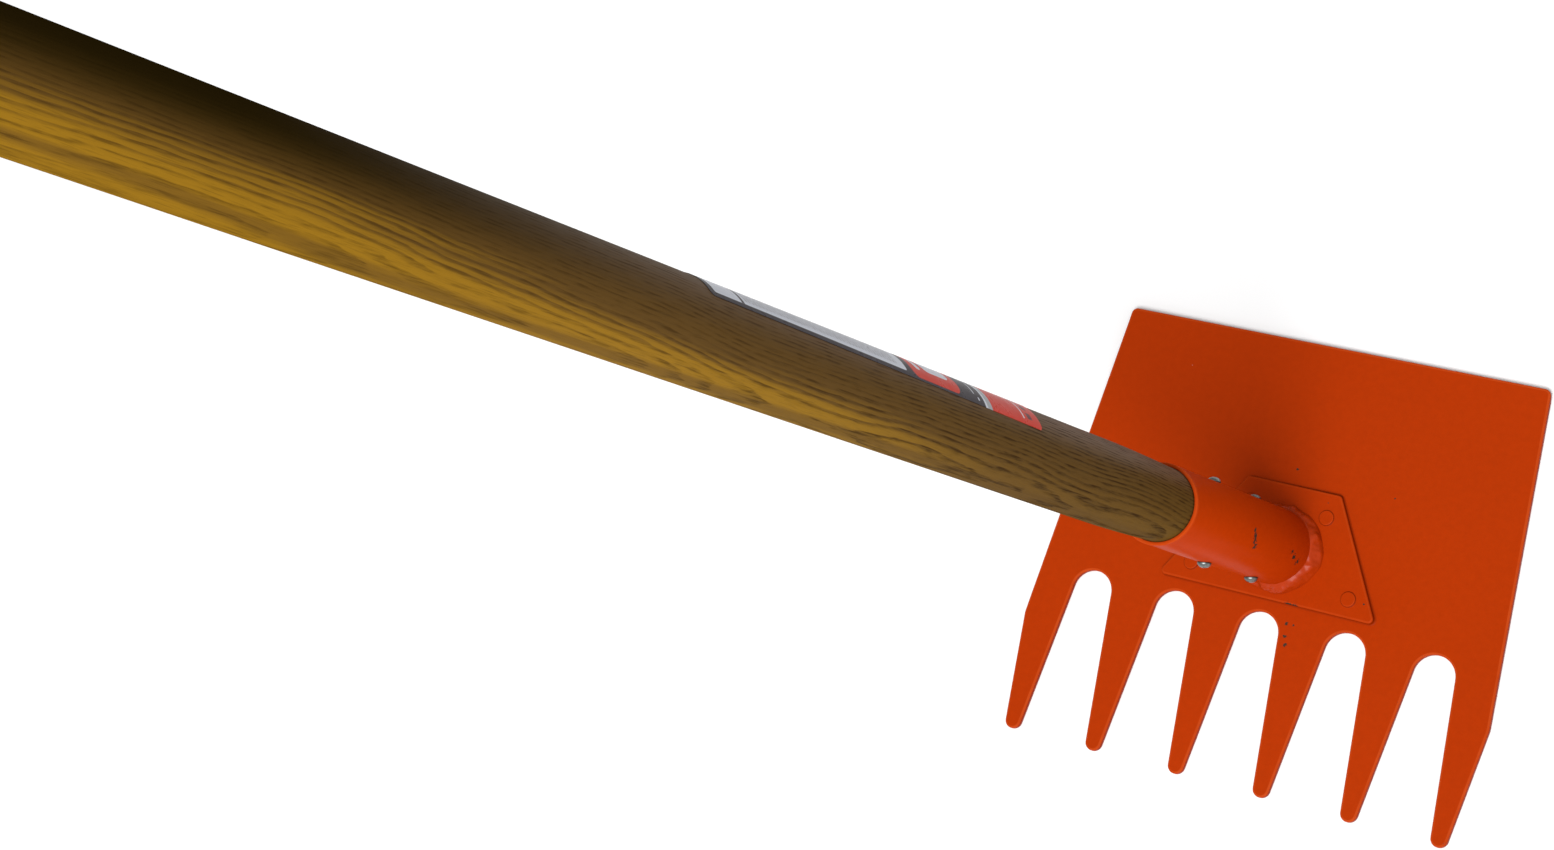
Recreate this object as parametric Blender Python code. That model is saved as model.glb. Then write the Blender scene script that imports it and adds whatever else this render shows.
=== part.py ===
"""Rake hoe: a toothed steel blade with a straight hoe edge, a riveted base plate,
a welded socket tube and a one-piece wooden handle.

The blade lies flat on z = 0 with its tines towards -Y and its hoe edge towards +Y.
The handle rises from the base plate and leans a little towards the tines.
"""
import math

import bmesh
import bpy
from mathutils import Matrix, Vector

MM = 0.001
GAP = 0.3 * MM            # room kept between touching pieces

# Blade
BLADE_THICKNESS = 4.0 * MM
TINE_COUNT = 6
TINE_PITCH = 50.0 * MM
TINE_TIP_RADIUS = 4.6 * MM
SLOT_RADIUS = 11.7 * MM
SLOT_CENTRE_RISE = 84.25 * MM     # slot arc's centre above the line of the tips
SHOULDER_WIDTH = 271.7 * MM
SHOULDER_RISE = 64.5 * MM
SHOULDER_RADIUS = 15.0 * MM
HOE_WIDTH = 243.1 * MM
BLADE_LENGTH = 243.85 * MM        # tips to hoe edge
HOE_CORNER_RADIUS = 3.5 * MM
BLADE_EDGE_ROUND = 0.6 * MM
HOE_GRIND_LENGTH = 7.0 * MM       # ground on the underside
HOE_GRIND_HEIGHT = 2.2 * MM

# Base plate, a trapezoid with its long side towards the tines
BASE_THICKNESS = 3.0 * MM
BASE_FRONT_WIDTH = 127.0 * MM
BASE_REAR_WIDTH = 54.0 * MM
BASE_FRONT_RISE = 102.9 * MM
BASE_REAR_RISE = 165.6 * MM
BASE_CORNER_RADIUS = 3.0 * MM
BASE_EDGE_ROUND = 0.5 * MM

# Rivets that hold the base plate to the blade
BASE_RIVET_SHANK_RADIUS = 3.0 * MM
BASE_RIVET_HEAD_RADIUS = 4.25 * MM
BASE_RIVET_HEAD_HEIGHT = 0.9 * MM
BASE_RIVET_SINK_RADIUS = 4.8 * MM
BASE_RIVET_SINK_DEPTH = 1.8 * MM
BASE_RIVETS = {
    "front_left": (-45.8 * MM, 112.8 * MM),
    "front_right": (45.8 * MM, 112.8 * MM),
    "rear_left": (-22.3 * MM, 152.3 * MM),
    "rear_right": (22.3 * MM, 152.3 * MM),
}

# Socket tube, on the handle's axis
HANDLE_LEAN = math.radians(2.754)      # towards the tines
AXIS_RISE = 131.2 * MM                 # where the axis meets the blade's top face
TUBE_RADIUS = 20.65 * MM
TUBE_WALL = 1.8 * MM
TUBE_MOUTH = 167.5 * MM                # heights along the axis, from the blade's top face
TUBE_EDGE_ROUND = 0.4 * MM

# Weld round the tube's foot
WELD_LEG_OUT = 4.0 * MM
WELD_LEG_UP = 6.5 * MM
WELD_BULGE = 0.7 * MM

# Through-rivets that pin the handle in the tube
# Height along the axis of each pin, and its line's turn about the axis, measured from Y
PINS = {"lower": (40.0 * MM, math.radians(12.5)), "upper": (101.0 * MM, math.radians(8.0))}
PIN_SHANK_RADIUS = 2.5 * MM
PIN_HEAD_RADIUS = 3.6 * MM
PIN_HEAD_HEIGHT = 2.5 * MM

# Handle
HANDLE_RADIUS = 20.0 * MM
HANDLE_FOOT = 16.0 * MM
HANDLE_TAPER_END = 245.0 * MM
HANDLE_TOP = 1236.0 * MM
HANDLE_FOOT_CHAMFER = 3.0 * MM
HANDLE_TOP_ROUND = 14.0 * MM

# Label on the handle, facing the hoe edge; its middle line leans, measured from +Y towards +X
LABEL_LOW = 343.5 * MM
LABEL_HIGH = 626.0 * MM
LABEL_HALF_ANGLE = math.radians(54.0)
LABEL_TURN_LOW = math.radians(3.5)
LABEL_TURN_HIGH = math.radians(-9.0)
LABEL_THICKNESS = 0.3 * MM

ROUND_STEPS = 48
BASE_TOP = BLADE_THICKNESS + GAP + BASE_THICKNESS
CENTRE_RISE = BLADE_LENGTH / 2         # the origin lies under the middle of the blade

PAINT = ((0.60, 0.075, 0.008), 0.38, 0.0)
ZINC = ((0.62, 0.62, 0.60), 0.25, 1.0)
WOOD = ((0.15, 0.075, 0.02), 0.40, 0.0)
FILM = ((0.60, 0.60, 0.62), 0.35, 0.0)


def clear_scene():
    for item in list(bpy.data.objects):
        bpy.data.objects.remove(item, do_unlink=True)


def material(name, look):
    colour, roughness, metallic = look
    made = bpy.data.materials.new(name)
    made.use_nodes = True
    shader = made.node_tree.nodes["Principled BSDF"]
    shader.inputs["Base Color"].default_value = (*colour, 1.0)
    shader.inputs["Roughness"].default_value = roughness
    shader.inputs["Metallic"].default_value = metallic
    return made


def add_object(name, bm, look=None, smooth=True):
    """Turn a bmesh into an object; a piece without a look is a cutter."""
    mesh = bpy.data.meshes.new(name)
    bm.to_mesh(mesh)
    bm.free()
    made = bpy.data.objects.new(name, mesh)
    bpy.context.scene.collection.objects.link(made)
    if smooth:
        mesh.shade_smooth()
        mesh.set_sharp_from_angle(angle=math.radians(30))
    if look:
        mesh.materials.append(material(name + "_finish", look))
    else:
        made.hide_render = True
        made.display_type = "WIRE"
    return made


def on_blade(x, rise):
    """A point of the plan: x from the middle, rise from the line of the tips."""
    return Vector((x, rise - CENTRE_RISE))


def arc(centre, radius, start, end, steps):
    for step in range(steps + 1):
        angle = start + (end - start) * step / steps
        yield centre + radius * Vector((math.cos(angle), math.sin(angle)))


def rounded_corner(before, corner, after, radius, steps=5):
    """The arc that rounds a corner between two straight edges."""
    back = (before - corner).normalized()
    ahead = (after - corner).normalized()
    half = back.angle(ahead) / 2
    middle = corner + (back + ahead).normalized() * radius / math.sin(half)
    first = corner + back * radius / math.tan(half) - middle
    last = corner + ahead * radius / math.tan(half) - middle
    start = math.atan2(first.y, first.x)
    sweep = (math.atan2(last.y, last.x) - start + math.pi) % (2 * math.pi) - math.pi
    yield from arc(middle, radius, start, start + sweep, steps)


def rounded_polygon(corners, radius):
    points = []
    for index, corner in enumerate(corners):
        after = corners[(index + 1) % len(corners)]
        points += rounded_corner(corners[index - 1], corner, after, radius)
    return points


def tip_centre(x):
    return on_blade(x, TINE_TIP_RADIUS)


def blade_outline():
    """Anticlockwise from the right shoulder: hoe edge, left side, then each tine and slot."""
    # The flank is the common tangent of a tip arc and the next slot arc.
    to_slot = on_blade(TINE_PITCH / 2, SLOT_CENTRE_RISE) - tip_centre(0)
    toward = math.atan2(to_slot.y, to_slot.x)
    flank = toward - math.acos((SLOT_RADIUS + TINE_TIP_RADIUS) / to_slot.length)

    # An outer tine's outside edge runs from its tip arc to the shoulder.
    last_tine = (TINE_COUNT - 1) / 2 * TINE_PITCH
    right_shoulder = on_blade(SHOULDER_WIDTH / 2, SHOULDER_RISE)
    to_shoulder = right_shoulder - tip_centre(last_tine)
    outside = (math.atan2(to_shoulder.y, to_shoulder.x)
               - math.acos(TINE_TIP_RADIUS / to_shoulder.length))
    leave = tip_centre(last_tine) + TINE_TIP_RADIUS * Vector((math.cos(outside), math.sin(outside)))

    right_hoe = on_blade(HOE_WIDTH / 2, BLADE_LENGTH)
    mirror = Matrix(((-1, 0), (0, 1)))
    left_hoe, left_shoulder = mirror @ right_hoe, mirror @ right_shoulder

    points = list(rounded_corner(leave, right_shoulder, right_hoe, SHOULDER_RADIUS))
    points += rounded_corner(right_shoulder, right_hoe, left_hoe, HOE_CORNER_RADIUS)
    points += rounded_corner(right_hoe, left_hoe, left_shoulder, HOE_CORNER_RADIUS)
    points += rounded_corner(left_hoe, left_shoulder, mirror @ leave, SHOULDER_RADIUS)
    for tine in range(TINE_COUNT):
        x = -last_tine + tine * TINE_PITCH
        start = math.pi - (outside if tine == 0 else flank)
        end = 2 * math.pi + (outside if tine == TINE_COUNT - 1 else flank)
        points += arc(tip_centre(x), TINE_TIP_RADIUS, start, end, 10)
        if tine < TINE_COUNT - 1:
            slot = on_blade(x + TINE_PITCH / 2, SLOT_CENTRE_RISE)
            points += arc(slot, SLOT_RADIUS, math.pi + flank, -flank, 14)
    return points


def plate(points, low, high, edge_round):
    """An outline raised from low to high, with its two rims rounded."""
    bm = bmesh.new()
    face = bm.faces.new([bm.verts.new((p.x, p.y, low)) for p in points])
    raised = bmesh.ops.extrude_face_region(bm, geom=[face])
    top = [item for item in raised["geom"] if isinstance(item, bmesh.types.BMVert)]
    bmesh.ops.translate(bm, vec=(0, 0, high - low), verts=top)
    bmesh.ops.recalc_face_normals(bm, faces=bm.faces[:])
    rims = [edge for edge in bm.edges if abs(edge.verts[0].co.z - edge.verts[1].co.z) < GAP / 10]
    bmesh.ops.bevel(bm, geom=rims, offset=edge_round, segments=2, profile=0.5, affect="EDGES")
    return bm


def turned(profile, steps=ROUND_STEPS):
    """A solid of revolution about Z from (radius, height) points, bottom to top."""
    bm = bmesh.new()
    rings = []
    for radius, height in profile:
        if radius == 0:
            rings.append([bm.verts.new((0, 0, height))])
        else:
            rings.append([
                bm.verts.new((radius * math.cos(turn), radius * math.sin(turn), height))
                for turn in (2 * math.pi * step / steps for step in range(steps))])
    for lower, upper in zip(rings, rings[1:]):
        for step in range(steps):
            after = (step + 1) % steps
            corners = [lower[step % len(lower)], lower[after % len(lower)],
                       upper[after % len(upper)], upper[step % len(upper)]]
            bm.faces.new(list(dict.fromkeys(corners)))
    return bm


def axis_frame():
    """From the handle's own frame to the tool's: Z runs up the handle from the blade's top."""
    foot = Matrix.Translation((*on_blade(0, AXIS_RISE), BLADE_THICKNESS))
    return foot @ Matrix.Rotation(HANDLE_LEAN, 4, "X")


def slant_height(y, height):
    """The height along the axis at which a line at y reaches a level above the blade."""
    return (height - BLADE_THICKNESS - y * math.sin(HANDLE_LEAN)) / math.cos(HANDLE_LEAN)


def cut(piece, cutters):
    for cutter in cutters:
        modifier = piece.modifiers.new("cut_" + cutter.name, "BOOLEAN")
        modifier.operation = "DIFFERENCE"
        modifier.solver = "EXACT"
        modifier.object = cutter


def base_rivet_profile(room):
    """Flush countersunk foot, shank and flat head; room widens and deepens it into a cutter."""
    foot = GAP / 2 if room == 0 else -BLADE_THICKNESS
    sink_top = BASE_RIVET_SINK_DEPTH + room
    shank = BASE_RIVET_SHANK_RADIUS + room
    profile = [(0, foot), (BASE_RIVET_SINK_RADIUS + room, foot)]
    if room:
        profile.append((BASE_RIVET_SINK_RADIUS + room, room))
    profile.append((shank, sink_top))
    if room:
        return profile + [(shank, BASE_TOP * 2), (0, BASE_TOP * 2)]
    seat = BASE_TOP + GAP
    head_top = seat + BASE_RIVET_HEAD_HEIGHT
    soften = BASE_RIVET_HEAD_HEIGHT / 2
    return profile + [
        (shank, seat), (BASE_RIVET_HEAD_RADIUS, seat), (BASE_RIVET_HEAD_RADIUS, head_top - soften),
        (BASE_RIVET_HEAD_RADIUS - soften, head_top), (0, head_top)]


def add_base_rivets():
    holes = []
    for place, (x, rise) in BASE_RIVETS.items():
        spot = (*on_blade(x, rise), 0)
        rivet = add_object("base_rivet_" + place, turned(base_rivet_profile(0), 24), PAINT)
        rivet.location = spot
        hole = add_object("hole_" + place, turned(base_rivet_profile(GAP), 24))
        hole.location = spot
        holes.append(hole)
    return holes


def hoe_grind_cutter():
    """A long wedge that takes the slope off the underside of the hoe edge."""
    edge = on_blade(0, BLADE_LENGTH).y
    slope = HOE_GRIND_HEIGHT / HOE_GRIND_LENGTH
    over = HOE_GRIND_LENGTH
    section = [(edge - HOE_GRIND_LENGTH, 0), (edge + over, HOE_GRIND_HEIGHT + slope * over),
               (edge + over, -over), (edge - HOE_GRIND_LENGTH, -over)]
    bm = bmesh.new()
    face = bm.faces.new([bm.verts.new((-SHOULDER_WIDTH, y, z)) for y, z in section])
    raised = bmesh.ops.extrude_face_region(bm, geom=[face])
    far = [item for item in raised["geom"] if isinstance(item, bmesh.types.BMVert)]
    bmesh.ops.translate(bm, vec=(2 * SHOULDER_WIDTH, 0, 0), verts=far)
    bmesh.ops.recalc_face_normals(bm, faces=bm.faces[:])
    return add_object("hoe_grind", bm)


def add_blade(holes):
    blade = add_object("blade", plate(blade_outline(), 0, BLADE_THICKNESS, BLADE_EDGE_ROUND), PAINT)
    cut(blade, holes + [hoe_grind_cutter()])


def add_base_plate(holes):
    front, rear = BASE_FRONT_WIDTH / 2, BASE_REAR_WIDTH / 2
    corners = [on_blade(-front, BASE_FRONT_RISE), on_blade(front, BASE_FRONT_RISE),
               on_blade(rear, BASE_REAR_RISE), on_blade(-rear, BASE_REAR_RISE)]
    outline = rounded_polygon(corners, BASE_CORNER_RADIUS)
    shape = plate(outline, BLADE_THICKNESS + GAP, BASE_TOP, BASE_EDGE_ROUND)
    cut(add_object("base_plate", shape, PAINT), holes)


def ring_of_sections(section_at, steps=ROUND_STEPS):
    """Join closed (radius, height) sections round Z; section_at(turn) gives each one outward."""
    bm = bmesh.new()
    rings = []
    for step in range(steps):
        turn = 2 * math.pi * step / steps
        rings.append([bm.verts.new((r * math.cos(turn), r * math.sin(turn), z))
                      for r, z in section_at(turn)])
    for step, ring in enumerate(rings):
        following = rings[(step + 1) % steps]
        for index in range(len(ring)):
            after = (index + 1) % len(ring)
            bm.faces.new((ring[index], following[index], following[after], ring[after]))
    bmesh.ops.recalc_face_normals(bm, faces=bm.faces[:])
    return bm


def tube_section(turn):
    """The tube's wall, its foot cut level with the base plate."""
    inner = TUBE_RADIUS - TUBE_WALL
    soften = TUBE_EDGE_ROUND
    level = BASE_TOP + GAP
    return [
        (inner, slant_height(inner * math.sin(turn), level)),
        (TUBE_RADIUS, slant_height(TUBE_RADIUS * math.sin(turn), level)),
        (TUBE_RADIUS, TUBE_MOUTH - soften),
        (TUBE_RADIUS - soften, TUBE_MOUTH),
        (inner + soften, TUBE_MOUTH),
        (inner, TUBE_MOUTH - soften)]


def weld_section(turn):
    """A fillet with a rounded face, lying on the base plate and against the tube."""
    inner = TUBE_RADIUS + GAP
    outer = inner + WELD_LEG_OUT
    level = BASE_TOP + GAP
    toe = slant_height(outer * math.sin(turn), level)
    root = slant_height(inner * math.sin(turn), level)
    return [
        (inner, root),
        (outer, toe),
        (outer - WELD_LEG_OUT / 6 + WELD_BULGE / 2, toe + WELD_LEG_UP / 4),
        (inner + WELD_LEG_OUT / 2 + WELD_BULGE, toe + WELD_LEG_UP / 2 + WELD_BULGE / 2),
        (inner + WELD_LEG_OUT / 6 + WELD_BULGE / 2, root + WELD_LEG_UP * 0.85),
        (inner, root + WELD_LEG_UP)]


def pin_profile():
    """A rivet along Z, centred on the handle's axis, with a dome at each end."""
    seat = TUBE_RADIUS + GAP
    steps = 5
    dome = []
    for step in range(steps + 1):
        climb = math.pi / 2 * step / steps
        radius = 0 if step == steps else PIN_HEAD_RADIUS * math.cos(climb)
        dome.append((radius, seat + PIN_HEAD_HEIGHT * math.sin(climb)))
    upper = [(PIN_SHANK_RADIUS, seat)] + dome
    return [(radius, -height) for radius, height in reversed(upper)] + upper


def pin_place(height, turn):
    """From a pin's own frame to the tool's."""
    across = Matrix.Rotation(turn, 4, "Z") @ Matrix.Rotation(-math.pi / 2, 4, "X")
    return axis_frame() @ Matrix.Translation((0, 0, height)) @ across


def add_handle_pins():
    holes = []
    reach = TUBE_RADIUS + 5 * MM
    bore = PIN_SHANK_RADIUS + GAP
    for place, (height, turn) in PINS.items():
        pin = add_object("handle_rivet_" + place, turned(pin_profile(), 24), ZINC)
        pin.matrix_world = pin_place(height, turn)
        hole = add_object("pin_hole_" + place, turned([(0, -reach), (bore, -reach), (bore, reach), (0, reach)], 24))
        hole.matrix_world = pin_place(height, turn)
        holes.append(hole)
    return holes


def handle_profile():
    """Pilot end in the tube, a taper above the mouth, a straight grip and a rounded end."""
    pilot = TUBE_RADIUS - TUBE_WALL - GAP
    profile = [
        (0, HANDLE_FOOT),
        (pilot - HANDLE_FOOT_CHAMFER, HANDLE_FOOT),
        (pilot, HANDLE_FOOT + HANDLE_FOOT_CHAMFER),
        (pilot, TUBE_MOUTH)]
    steps = 8
    for step in range(1, steps + 1):
        part = step / steps
        swell = math.sin(part * math.pi / 2)
        radius = pilot + (HANDLE_RADIUS - pilot) * swell
        profile.append((radius, TUBE_MOUTH + (HANDLE_TAPER_END - TUBE_MOUTH) * part))
    shoulder = HANDLE_TOP - HANDLE_TOP_ROUND
    flat = HANDLE_RADIUS - HANDLE_TOP_ROUND
    for step in range(steps + 1):
        climb = math.pi / 2 * step / steps
        profile.append((flat + HANDLE_TOP_ROUND * math.cos(climb), shoulder + HANDLE_TOP_ROUND * math.sin(climb)))
    return profile + [(0, HANDLE_TOP)]


def label_shape():
    """A thin curved sheet on the +Y side of the handle, wrapped a little askew."""
    inner = HANDLE_RADIUS + GAP
    around, along = 16, 6
    bm = bmesh.new()
    rings = []
    for row in range(along + 1):
        part = row / along
        height = LABEL_LOW + (LABEL_HIGH - LABEL_LOW) * part
        middle = math.pi / 2 - LABEL_TURN_LOW - (LABEL_TURN_HIGH - LABEL_TURN_LOW) * part
        turns = [middle + LABEL_HALF_ANGLE * (2 * step / around - 1) for step in range(around + 1)]
        ring = [(inner + LABEL_THICKNESS, turn) for turn in turns]
        ring += [(inner, turn) for turn in reversed(turns)]
        rings.append([bm.verts.new((r * math.cos(turn), r * math.sin(turn), height)) for r, turn in ring])
    for ring, following in zip(rings, rings[1:]):
        for index in range(len(ring)):
            after = (index + 1) % len(ring)
            bm.faces.new((ring[index], ring[after], following[after], following[index]))
    for ring in (rings[0], rings[-1]):
        for step in range(around):
            bm.faces.new((ring[step], ring[step + 1], ring[-step - 2], ring[-step - 1]))
    bmesh.ops.recalc_face_normals(bm, faces=bm.faces[:])
    return bm


def add_handle_assembly():
    axis = axis_frame()
    holes = add_handle_pins()
    tube = add_object("socket_tube", ring_of_sections(tube_section), PAINT)
    handle = add_object("handle", turned(handle_profile()), WOOD)
    weld = add_object("weld_bead", ring_of_sections(weld_section), PAINT)
    label = add_object("label", label_shape(), FILM)
    for piece in (tube, handle, weld, label):
        piece.matrix_world = axis
    cut(tube, holes)
    cut(handle, holes)


def main():
    clear_scene()
    holes = add_base_rivets()
    add_blade(holes)
    add_base_plate(holes)
    add_handle_assembly()


main()
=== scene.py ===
"""Rake hoe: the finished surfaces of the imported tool, on a plain studio floor.

Each piece of the tool has an operator in the sidebar of the 3D view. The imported
model is loaded first as a fixed frame, and every piece takes its place from it.
"""

import math

import bmesh
import bpy
from bpy.props import FloatProperty, FloatVectorProperty, IntProperty, PointerProperty
from bpy.types import NodeSocket, Operator, Panel, PropertyGroup
from mathutils import Matrix, Vector, noise
from mathutils.geometry import tessellate_polygon


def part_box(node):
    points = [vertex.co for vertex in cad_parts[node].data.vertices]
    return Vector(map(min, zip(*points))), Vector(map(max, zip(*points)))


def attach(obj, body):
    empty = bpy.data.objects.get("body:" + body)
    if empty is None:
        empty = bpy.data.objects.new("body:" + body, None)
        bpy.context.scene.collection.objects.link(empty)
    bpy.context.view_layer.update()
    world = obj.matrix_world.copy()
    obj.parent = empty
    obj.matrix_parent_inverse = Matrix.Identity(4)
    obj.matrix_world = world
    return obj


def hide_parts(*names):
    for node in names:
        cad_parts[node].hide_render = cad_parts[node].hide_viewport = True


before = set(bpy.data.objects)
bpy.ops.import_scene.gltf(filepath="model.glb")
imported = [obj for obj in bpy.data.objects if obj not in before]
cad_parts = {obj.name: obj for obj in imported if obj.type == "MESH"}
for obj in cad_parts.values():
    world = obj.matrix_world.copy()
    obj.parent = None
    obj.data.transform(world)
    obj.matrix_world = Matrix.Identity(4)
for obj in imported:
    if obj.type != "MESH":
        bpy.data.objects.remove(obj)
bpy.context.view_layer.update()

bl_info = {
    "name": "Rake Hoe",
    "version": (1, 0, 0),
    "blender": (4, 5, 0),
    "location": "View3D > Sidebar > Rake Hoe",
    "description": "Builds a rake hoe with a painted steel head and a lacquered ash handle",
    "category": "Add Mesh",
}

MM = 0.001
TURN = 2 * math.pi
BODY = "root"
SEAT_GAP = 0.02 * MM

# Places read from the frame
BLADE_LOW, BLADE_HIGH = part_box("blade")
BASE_LOW, BASE_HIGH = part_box("base_plate")
HANDLE_LOW, HANDLE_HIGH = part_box("handle")
TUBE_LOW, TUBE_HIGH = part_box("socket_tube")

# The handle's axis: where it crosses the blade's top face, and its lean towards the tines
AXIS_FOOT = Vector((0, BLADE_LOW[1] + 131.2 * MM, BLADE_HIGH[2]))
LEAN = math.radians(2.754)
AXIS = Matrix.Translation(AXIS_FOOT) @ Matrix.Rotation(LEAN, 4, "X")
TUBE_RADIUS = (TUBE_HIGH[0] - TUBE_LOW[0]) / 2
HANDLE_RADIUS = (HANDLE_HIGH[0] - HANDLE_LOW[0]) / 2
HANDLE_TOP = (HANDLE_HIGH[2] - AXIS_FOOT.z) / math.cos(LEAN)


# ---- settings

def length(name, about, millimetres):
    return FloatProperty(name=name, description=about, default=millimetres * MM,
                         min=0.0, unit="LENGTH", subtype="DISTANCE")


def share(name, about, default):
    return FloatProperty(name=name, description=about, default=default, min=0.0, max=1.0,
                         subtype="FACTOR")


def amount(name, about, default, unit="NONE"):
    return FloatProperty(name=name, description=about, default=default, min=0.0, unit=unit)


def colour(name, about, red, green, blue):
    return FloatVectorProperty(name=name, description=about, default=(red, green, blue),
                               size=3, min=0.0, max=1.0, subtype="COLOR")


class RakeHoePaint(PropertyGroup):
    enamel: colour("Enamel", "Colour of the paint where it is full", 0.405, 0.0325, 0.0008)
    # Thin enamel: lighter paint on the rims, partly paint drawn back from an edge and partly a painted
    # highlight where rounded edges catch the light
    thin: colour("Thin enamel", "Colour where the paint has drawn back from an edge", 0.56, 0.085, 0.014)
    # Painted shade: the dark colour put in joints, on side walls and under edges where shade falls
    painted_shade: colour("Crevice", "Colour in the joints between pieces", 0.11, 0.008, 0.0006)
    bare: colour("Bare steel", "Colour where the paint has chipped off", 0.055, 0.036, 0.024)
    roughness: share("Roughness", "Roughness of the enamel", 0.36)
    peel: share("Orange peel", "Depth of the fine ripple in the enamel", 0.12)


class RakeHoeBlade(PropertyGroup):
    tines: IntProperty(name="Tines", description="How many tines", default=6, min=2, max=9)
    pitch: length("Pitch", "Distance from one tine to the next", 50.0)
    tip_radius: length("Tip radius", "Radius of each tine's round tip", 4.6)
    slot_radius: length("Slot radius", "Radius at the root of each slot", 11.7)
    slot_rise: length("Slot rise", "Height of the slot's arc centre above the tips", 84.25)
    shoulder_rise: length("Shoulder rise", "Height of the widest point above the tips", 64.5)
    hoe_width: length("Hoe width", "Width of the straight hoe edge", 243.1)
    edge_round: length("Edge rounding", "Rounding of the painted edges", 1.0)
    grind_length: length("Grind length", "Width of the slope ground under the hoe edge", 7.0)
    grind_height: length("Grind height", "Height of the slope ground under the hoe edge", 2.2)


class RakeHoeSocket(PropertyGroup):
    wall: length("Wall", "Thickness of the tube's wall", 1.8)
    mouth: length("Mouth height", "Height of the tube's mouth along the handle", 167.5)
    weld_out: length("Weld leg on the plate", "Width of the weld on the base plate", 4.0)
    weld_up: length("Weld leg on the tube", "Height of the weld on the tube", 6.8)
    weld_lumps: share("Weld lumps", "How uneven the weld is", 0.36)
    weld_seed: IntProperty(name="Weld seed", description="Picks the weld's lumps", default=4)


class RakeHoeRivets(PropertyGroup):
    base_head: length("Base head radius", "Radius of the flat painted heads", 4.0)
    base_height: length("Base head height", "Height of the flat painted heads", 0.9)
    pin_head: length("Pin head radius", "Radius of the domed zinc heads", 3.6)
    pin_height: length("Pin head height", "Height of the domed zinc heads", 2.9)
    zinc: colour("Zinc", "Colour of the zinc plate", 0.20, 0.215, 0.21)


class RakeHoeHandle(PropertyGroup):
    taper_end: length("Taper end", "Height along the handle where it reaches full size", 245.0)
    top_round: length("Top rounding", "Rounding of the grip end", 14.0)
    ring: length("Ring spacing", "Distance between the wood's growth rings", 1.7)
    golden: colour("Golden wood", "Stained wood on the side towards the tines", 0.235, 0.120, 0.0088)
    brown: colour("Brown wood", "Stained wood on the handle's flanks", 0.098, 0.050, 0.0105)
    # Dark wood is painted shade: nearly black for the side towards the hoe edge, high on the handle, that
    # lies in shade
    dark: colour("Dark wood", "Stained wood on the side towards the hoe edge", 0.018, 0.011, 0.0018)
    pore: colour("Pores", "Stain held in the open pores", 0.028, 0.012, 0.003)
    # Painted sheen: paler wood on the far side near the head stands in for the lacquer's reflection
    painted_sheen: colour("Worn wood", "Paler wood on the far side, near the head", 0.20, 0.105, 0.066)


class RakeHoeLabel(PropertyGroup):
    half_width: length("Half width", "Half of the label's width round the handle", 18.9)
    film: length("Film", "Thickness of the printed film", 0.15)
    corner: length("Corner radius", "Radius of the label's corners", 2.5)
    panel: colour("Panel", "Pale panel", 0.58, 0.60, 0.66)
    border: colour("Border", "Dark border", 0.035, 0.027, 0.033)
    red: colour("Red", "Red fields", 0.56, 0.030, 0.011)
    silver: colour("Silver", "Silver stripe", 0.36, 0.37, 0.39)


class RakeHoeStage(PropertyGroup):
    camera: FloatVectorProperty(name="Camera", description="Place of the camera", size=3,
                                default=(0.6390, -0.1392, 1.5929), subtype="TRANSLATION")
    camera_turn: FloatVectorProperty(
        name="Camera turn", description="Turn of the camera about X, Y and Z", size=3,
        default=tuple(math.radians(angle) for angle in (13.827, 28.615, 18.278)), subtype="EULER")
    lens: amount("Lens", "Focal length in millimetres on a 36 mm sensor", 73.415)
    floor: colour("Floor", "Colour of the floor", 0.93, 0.93, 0.93)
    key_power: amount("Key power", "Power of the large soft light", 100.0, unit="POWER")
    sky: amount("Sky", "Brightness of the room's bright side", 0.70)
    shade: amount("Shade", "Brightness of the room's dark side", 0.12)


# ---- node trees

class Value:
    """A number that varies over a tree: arithmetic on it adds Math nodes."""

    def __init__(self, tree, socket):
        self.tree = tree
        self.socket = socket

    def math(self, operation, *terms):
        return self.tree.out("ShaderNodeMath", 0, {"operation": operation}, dict(enumerate(terms)))

    def __add__(self, other):
        return self.math("ADD", self, other)

    def __sub__(self, other):
        return self.math("SUBTRACT", self, other)

    def __rsub__(self, other):
        return self.math("SUBTRACT", other, self)

    def __mul__(self, other):
        return self.math("MULTIPLY", self, other)

    def __truediv__(self, other):
        return self.math("DIVIDE", self, other)

    def __rtruediv__(self, other):
        return self.math("DIVIDE", other, self)

    def __neg__(self):
        return self.math("MULTIPLY", self, -1.0)

    def __abs__(self):
        return self.math("ABSOLUTE", self)

    __radd__ = __add__
    __rmul__ = __mul__

    def least(self, other):
        return self.math("MINIMUM", self, other)

    def most(self, other):
        return self.math("MAXIMUM", self, other)

    def root(self):
        return self.math("SQRT", self)

    def fraction(self):
        return self.math("FRACT", self)

    def sine(self):
        return self.math("SINE", self)

    def cosine(self):
        return self.math("COSINE", self)

    def ramp(self, low, high):
        """0 at low, 1 at high, smooth between; low may be above high."""
        return self.tree.out("ShaderNodeMapRange", 0, {"interpolation_type": "SMOOTHSTEP"},
                             {0: self, 1: low, 2: high, 3: 0.0, 4: 1.0})


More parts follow.
